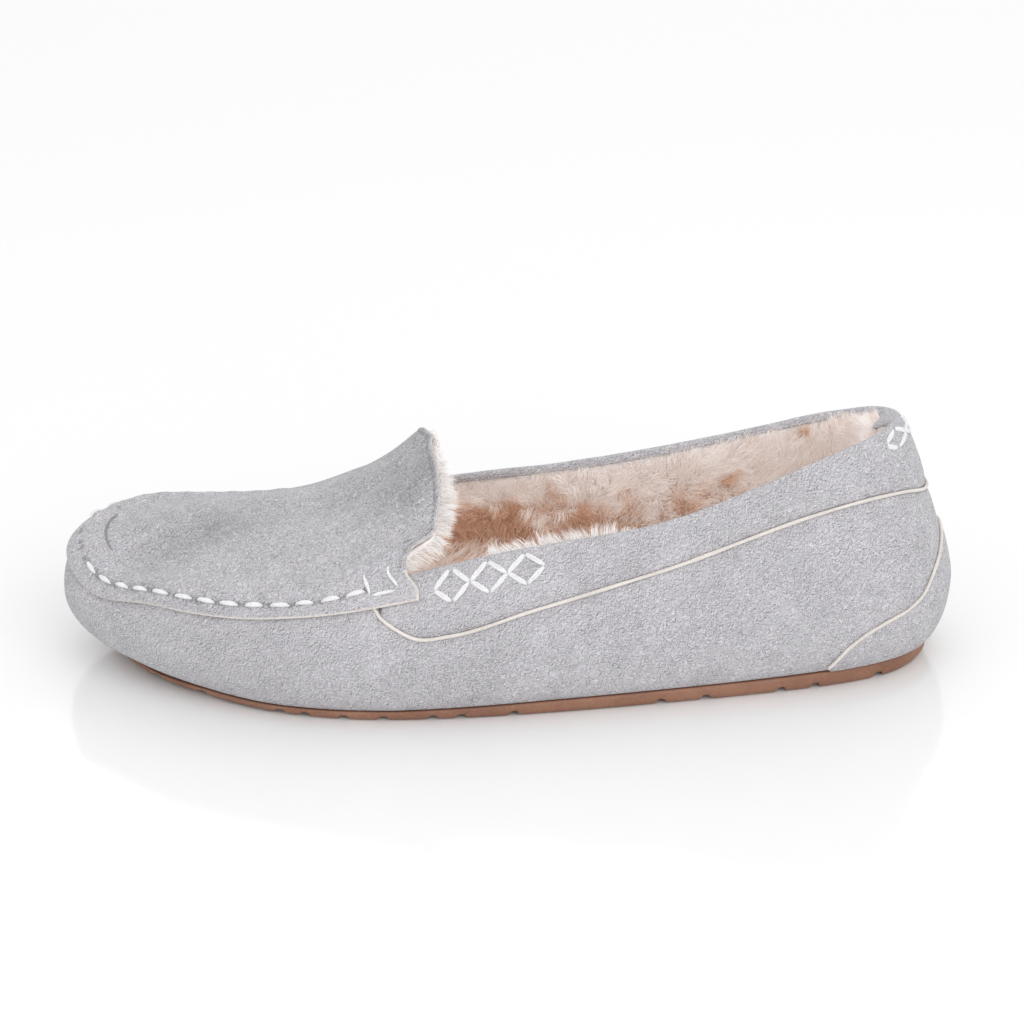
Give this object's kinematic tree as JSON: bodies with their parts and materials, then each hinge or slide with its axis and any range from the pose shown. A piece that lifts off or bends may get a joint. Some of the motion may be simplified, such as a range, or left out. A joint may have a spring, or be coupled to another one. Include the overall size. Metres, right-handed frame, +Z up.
{
  "type": "fur-lined moccasin house slipper",
  "caption": "Left-foot moccasin house slipper in faux suede with a fur lining, stitched plug over the toes, padded collar and a thin rubber outsole.",
  "frame": {"origin": "bottom centre of the bounding box, on the surface the sole rests on", "axes": "+X towards the heel, so the toe points along -X; -Y is the outer, little-toe side; +Z up"},
  "size_m": [0.2578, 0.0972, 0.0751],
  "materials": {
    "outsole_rubber": "matte tan thermoplastic rubber",
    "board": "pressed fibre board",
    "foam": "open-cell foam",
    "fur": "deep pile faux fur, pale tips over a tan base",
    "suede": "brushed faux suede with a short nap",
    "piping": "narrow woven cord",
    "thread": "thick twisted thread"
  },
  "bodies": {
    "root": {"outsole": "outsole_rubber", "bottom_filler": "board", "insole_board": "board", "insole_foam": "foam", "insole_fur": "fur", "side_wall": "suede", "plug": "suede", "collar_band": "suede", "heel_patch": "suede", "heel_counter": "board", "collar_foam": "foam", "vamp_lining": "fur", "quarter_lining": "fur", "plug_lining": "fur", "collar_piping": "piping", "heel_patch_piping": "piping", "moccasin_thread": "thread", "corner_thread_outer": "thread", "corner_thread_inner": "thread", "diamond_thread_outer": "thread", "diamond_thread_inner": "thread", "diamond_thread_heel": "thread"}
  },
  "joints": []
}
